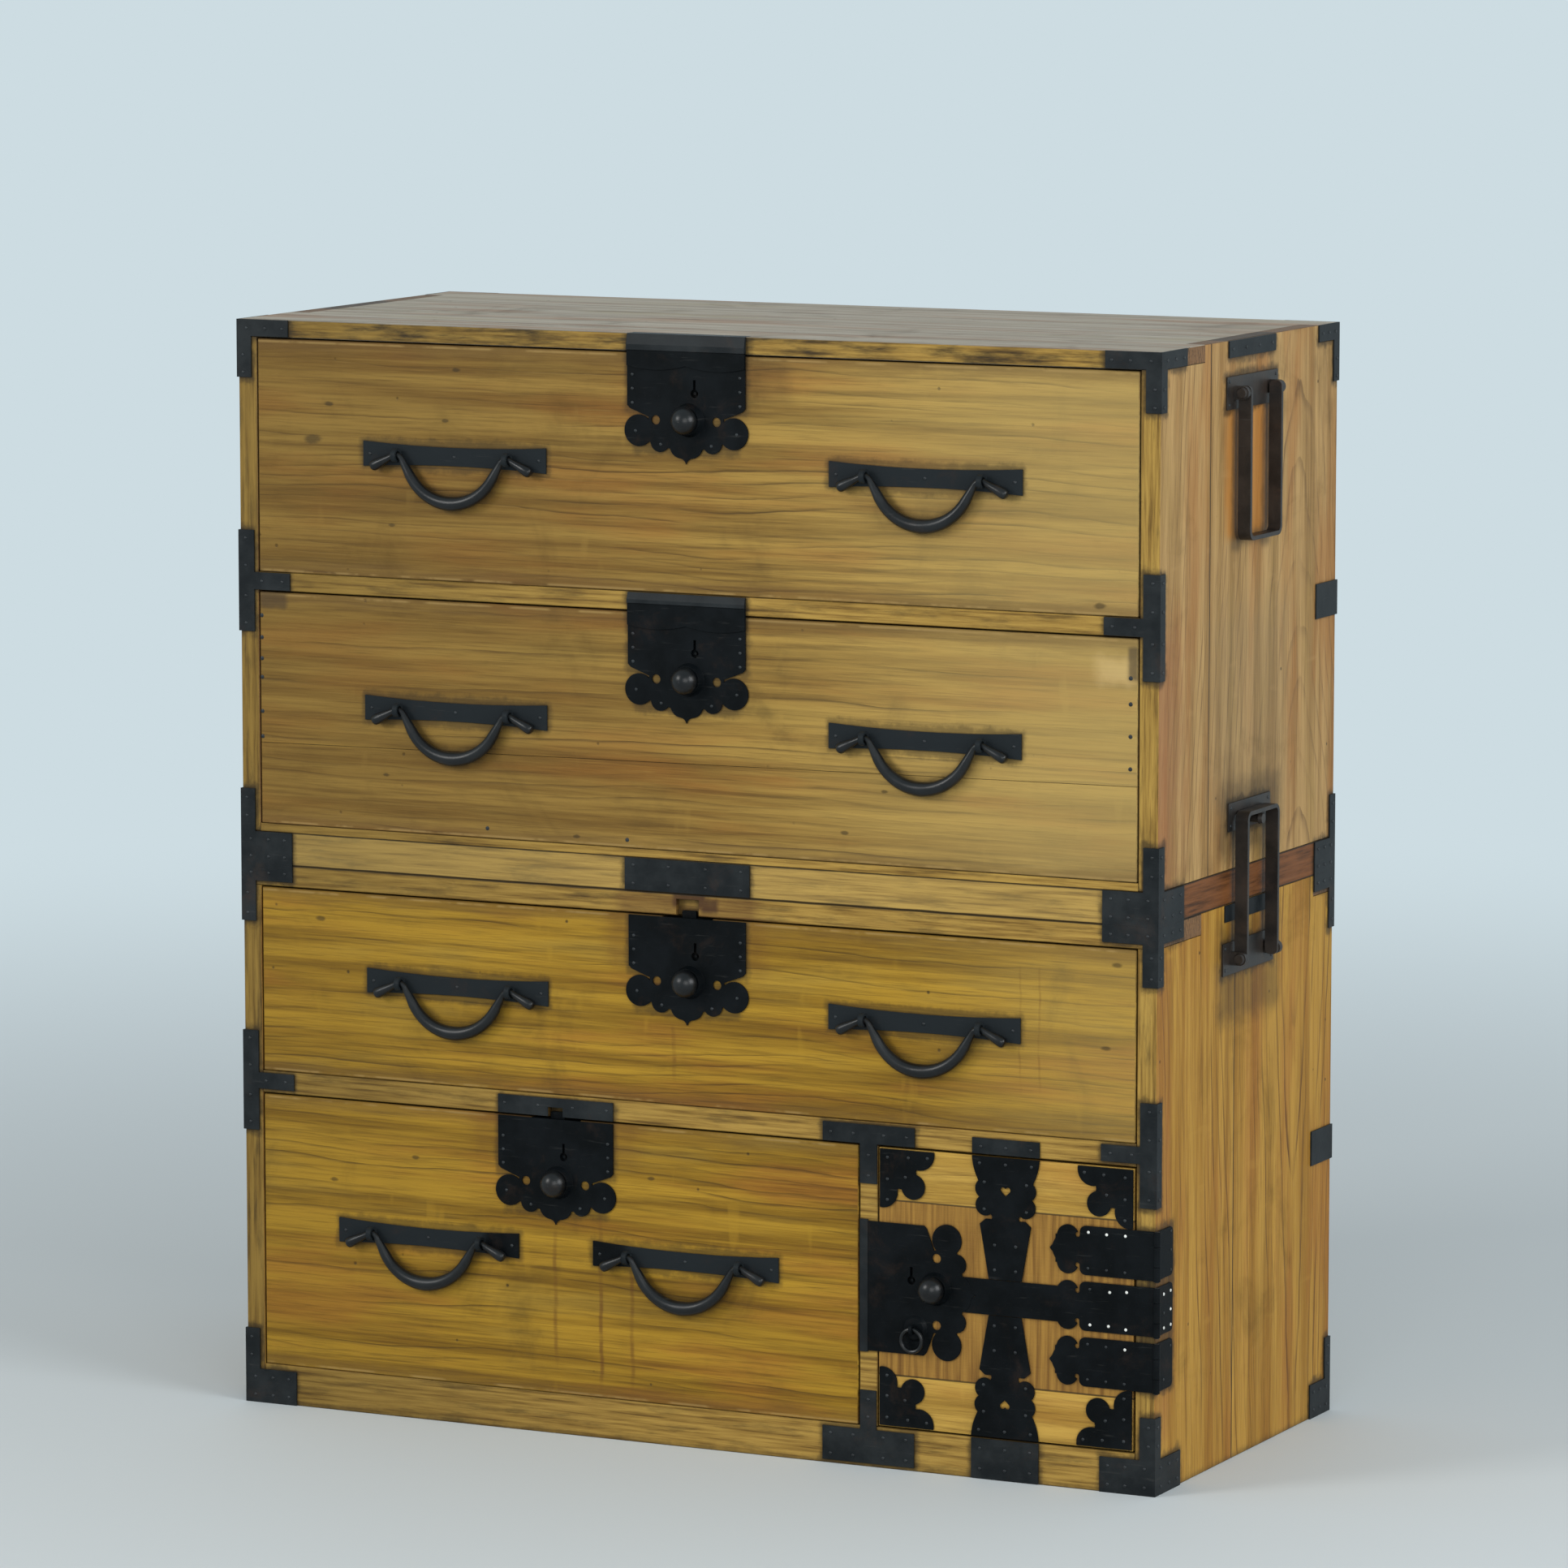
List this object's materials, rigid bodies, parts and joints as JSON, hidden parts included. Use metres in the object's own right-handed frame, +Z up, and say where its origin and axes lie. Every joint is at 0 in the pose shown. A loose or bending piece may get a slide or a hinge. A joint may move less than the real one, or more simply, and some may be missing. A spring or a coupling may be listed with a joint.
{
  "type": "clothing chest",
  "caption": "Stacked wooden clothing chest with sliding drawers, a small hinged door and dark forged-iron locks, bail handles, side handles and corner fittings.",
  "frame": {"origin": "middle of the chest's footprint at the underside of its base, on the floor", "axes": "+X to the right of someone facing the drawers, -Y out of the front, +Z up"},
  "size_m": [1.0208, 0.4595, 1.082],
  "materials": {
    "aged_wood": "worn oiled boards",
    "pale_wood": "plain unfinished boards",
    "black_iron": "blackened satin"
  },
  "bodies": {
    "case": {"lower_sides": "aged_wood", "lower_top": "aged_wood", "lower_bottom": "aged_wood", "lower_back": "aged_wood", "lower_rails": "aged_wood", "lower_partition": "pale_wood", "drawer_runners": "pale_wood", "lower_irons": "black_iron", "lower_handle_plates": "black_iron", "case_hinge_leaves": "black_iron", "door_hinge_pins": "black_iron", "upper_sides": "aged_wood", "upper_top": "aged_wood", "upper_floor": "aged_wood", "upper_back": "aged_wood", "upper_rail": "aged_wood", "upper_base_frame": "aged_wood", "upper_irons": "black_iron", "upper_handle_plates": "black_iron"},
    "drawer_1": {"drawer_1_front": "aged_wood", "drawer_1_box": "pale_wood", "drawer_1_irons": "black_iron"},
    "drawer_1_left_bail": {"drawer_1_left_bail": "black_iron"},
    "drawer_1_right_bail": {"drawer_1_right_bail": "black_iron"},
    "drawer_1_button": {"drawer_1_button": "black_iron"},
    "drawer_1_bolt": {"drawer_1_bolt": "black_iron"},
    "drawer_2": {"drawer_2_front": "aged_wood", "drawer_2_box": "pale_wood", "drawer_2_irons": "black_iron"},
    "drawer_2_left_bail": {"drawer_2_left_bail": "black_iron"},
    "drawer_2_right_bail": {"drawer_2_right_bail": "black_iron"},
    "drawer_2_button": {"drawer_2_button": "black_iron"},
    "drawer_2_bolt": {"drawer_2_bolt": "black_iron"},
    "drawer_3": {"drawer_3_front": "aged_wood", "drawer_3_box": "pale_wood", "drawer_3_irons": "black_iron"},
    "drawer_3_left_bail": {"drawer_3_left_bail": "black_iron"},
    "drawer_3_right_bail": {"drawer_3_right_bail": "black_iron"},
    "drawer_3_button": {"drawer_3_button": "black_iron"},
    "drawer_3_bolt": {"drawer_3_bolt": "black_iron"},
    "drawer_4": {"drawer_4_front": "aged_wood", "drawer_4_box": "pale_wood", "drawer_4_irons": "black_iron"},
    "drawer_4_left_bail": {"drawer_4_left_bail": "black_iron"},
    "drawer_4_right_bail": {"drawer_4_right_bail": "black_iron"},
    "drawer_4_button": {"drawer_4_button": "black_iron"},
    "drawer_4_bolt": {"drawer_4_bolt": "black_iron"},
    "door": {"door_boards": "aged_wood", "door_ornaments": "black_iron", "door_hinge_leaves": "black_iron", "door_lock": "black_iron"},
    "door_button": {"door_button": "black_iron"},
    "door_bolt": {"door_bolt": "black_iron"},
    "door_ring": {"door_ring": "black_iron"},
    "upper_left_bail": {"upper_left_bail": "black_iron"},
    "lower_left_bail": {"lower_left_bail": "black_iron"},
    "upper_right_bail": {"upper_right_bail": "black_iron"},
    "lower_right_bail": {"lower_right_bail": "black_iron"}
  },
  "joints": [
    {"name": "drawer_1_slide", "type": "slide", "parent": "case", "child": "drawer_1", "axis": [0, -1, 0], "range_m": [0, 0.36]},
    {"name": "drawer_1_left_bail_swing", "type": "hinge", "parent": "drawer_1", "child": "drawer_1_left_bail", "pos_m": [-0.252, -0.2252, 0.95525], "axis": [-1, 0, 0], "range_deg": [0, 120]},
    {"name": "drawer_1_right_bail_swing", "type": "hinge", "parent": "drawer_1", "child": "drawer_1_right_bail", "pos_m": [0.252, -0.2252, 0.95525], "axis": [-1, 0, 0], "range_deg": [0, 120]},
    {"name": "drawer_1_button_push", "type": "slide", "parent": "drawer_1", "child": "drawer_1_button", "axis": [0, 1, 0], "range_m": [0, 0.0035]},
    {"name": "drawer_1_bolt_lift", "type": "slide", "parent": "drawer_1", "child": "drawer_1_bolt", "axis": [0, 0, 1], "range_m": [0, 0.008]},
    {"name": "drawer_2_slide", "type": "slide", "parent": "case", "child": "drawer_2", "axis": [0, -1, 0], "range_m": [0, 0.36]},
    {"name": "drawer_2_left_bail_swing", "type": "hinge", "parent": "drawer_2", "child": "drawer_2_left_bail", "pos_m": [-0.252, -0.2252, 0.70575], "axis": [-1, 0, 0], "range_deg": [0, 120]},
    {"name": "drawer_2_right_bail_swing", "type": "hinge", "parent": "drawer_2", "child": "drawer_2_right_bail", "pos_m": [0.252, -0.2252, 0.70575], "axis": [-1, 0, 0], "range_deg": [0, 120]},
    {"name": "drawer_2_button_push", "type": "slide", "parent": "drawer_2", "child": "drawer_2_button", "axis": [0, 1, 0], "range_m": [0, 0.0035]},
    {"name": "drawer_2_bolt_lift", "type": "slide", "parent": "drawer_2", "child": "drawer_2_bolt", "axis": [0, 0, 1], "range_m": [0, 0.008]},
    {"name": "drawer_3_slide", "type": "slide", "parent": "case", "child": "drawer_3", "axis": [0, -1, 0], "range_m": [0, 0.36]},
    {"name": "drawer_3_left_bail_swing", "type": "hinge", "parent": "drawer_3", "child": "drawer_3_left_bail", "pos_m": [-0.252, -0.2252, 0.43525], "axis": [-1, 0, 0], "range_deg": [0, 120]},
    {"name": "drawer_3_right_bail_swing", "type": "hinge", "parent": "drawer_3", "child": "drawer_3_right_bail", "pos_m": [0.252, -0.2252, 0.43525], "axis": [-1, 0, 0], "range_deg": [0, 120]},
    {"name": "drawer_3_button_push", "type": "slide", "parent": "drawer_3", "child": "drawer_3_button", "axis": [0, 1, 0], "range_m": [0, 0.0035]},
    {"name": "drawer_3_bolt_lift", "type": "slide", "parent": "drawer_3", "child": "drawer_3_bolt", "axis": [0, 0, 1], "range_m": [0, 0.008]},
    {"name": "drawer_4_slide", "type": "slide", "parent": "case", "child": "drawer_4", "axis": [0, -1, 0], "range_m": [0, 0.36]},
    {"name": "drawer_4_left_bail_swing", "type": "hinge", "parent": "drawer_4", "child": "drawer_4_left_bail", "pos_m": [-0.2855, -0.2252, 0.18325], "axis": [-1, 0, 0], "range_deg": [0, 120]},
    {"name": "drawer_4_right_bail_swing", "type": "hinge", "parent": "drawer_4", "child": "drawer_4_right_bail", "pos_m": [-0.0025, -0.2252, 0.18325], "axis": [-1, 0, 0], "range_deg": [0, 120]},
    {"name": "drawer_4_button_push", "type": "slide", "parent": "drawer_4", "child": "drawer_4_button", "axis": [0, 1, 0], "range_m": [0, 0.0035]},
    {"name": "drawer_4_bolt_lift", "type": "slide", "parent": "drawer_4", "child": "drawer_4_bolt", "axis": [0, 0, 1], "range_m": [0, 0.008]},
    {"name": "door_swing", "type": "hinge", "parent": "case", "child": "door", "pos_m": [0.4953, -0.2198, 0.17725], "axis": [0, 0, 1], "range_deg": [0, 250]},
    {"name": "door_button_push", "type": "slide", "parent": "door", "child": "door_button", "axis": [0, 1, 0], "range_m": [0, 0.0035]},
    {"name": "door_bolt_slide", "type": "slide", "parent": "door", "child": "door_bolt", "axis": [-1, 0, 0], "range_m": [0, 0.008]},
    {"name": "door_ring_swing", "type": "hinge", "parent": "door", "child": "door_ring", "pos_m": [0.2438, -0.2266, 0.14025], "axis": [-1, 0, 0], "range_deg": [0, 110]},
    {"name": "upper_left_bail_swing", "type": "hinge", "parent": "case", "child": "upper_left_bail", "pos_m": [-0.5025, 0, 1.032], "axis": [0, 1, 0], "range_deg": [0, 180]},
    {"name": "lower_left_bail_swing", "type": "hinge", "parent": "case", "child": "lower_left_bail", "pos_m": [-0.504, 0, 0.4905], "axis": [0, -1, 0], "range_deg": [0, 180]},
    {"name": "upper_right_bail_swing", "type": "hinge", "parent": "case", "child": "upper_right_bail", "pos_m": [0.5025, 0, 1.032], "axis": [0, -1, 0], "range_deg": [0, 180]},
    {"name": "lower_right_bail_swing", "type": "hinge", "parent": "case", "child": "lower_right_bail", "pos_m": [0.504, 0, 0.4905], "axis": [0, 1, 0], "range_deg": [0, 180]}
  ],
  "couplings": [
    {"joint": "drawer_1_bolt_lift", "follows": "drawer_1_button_push", "ratio": 2.2857},
    {"joint": "drawer_2_bolt_lift", "follows": "drawer_2_button_push", "ratio": 2.2857},
    {"joint": "drawer_3_bolt_lift", "follows": "drawer_3_button_push", "ratio": 2.2857},
    {"joint": "drawer_4_bolt_lift", "follows": "drawer_4_button_push", "ratio": 2.2857},
    {"joint": "door_bolt_slide", "follows": "door_button_push", "ratio": 2.2857}
  ]
}
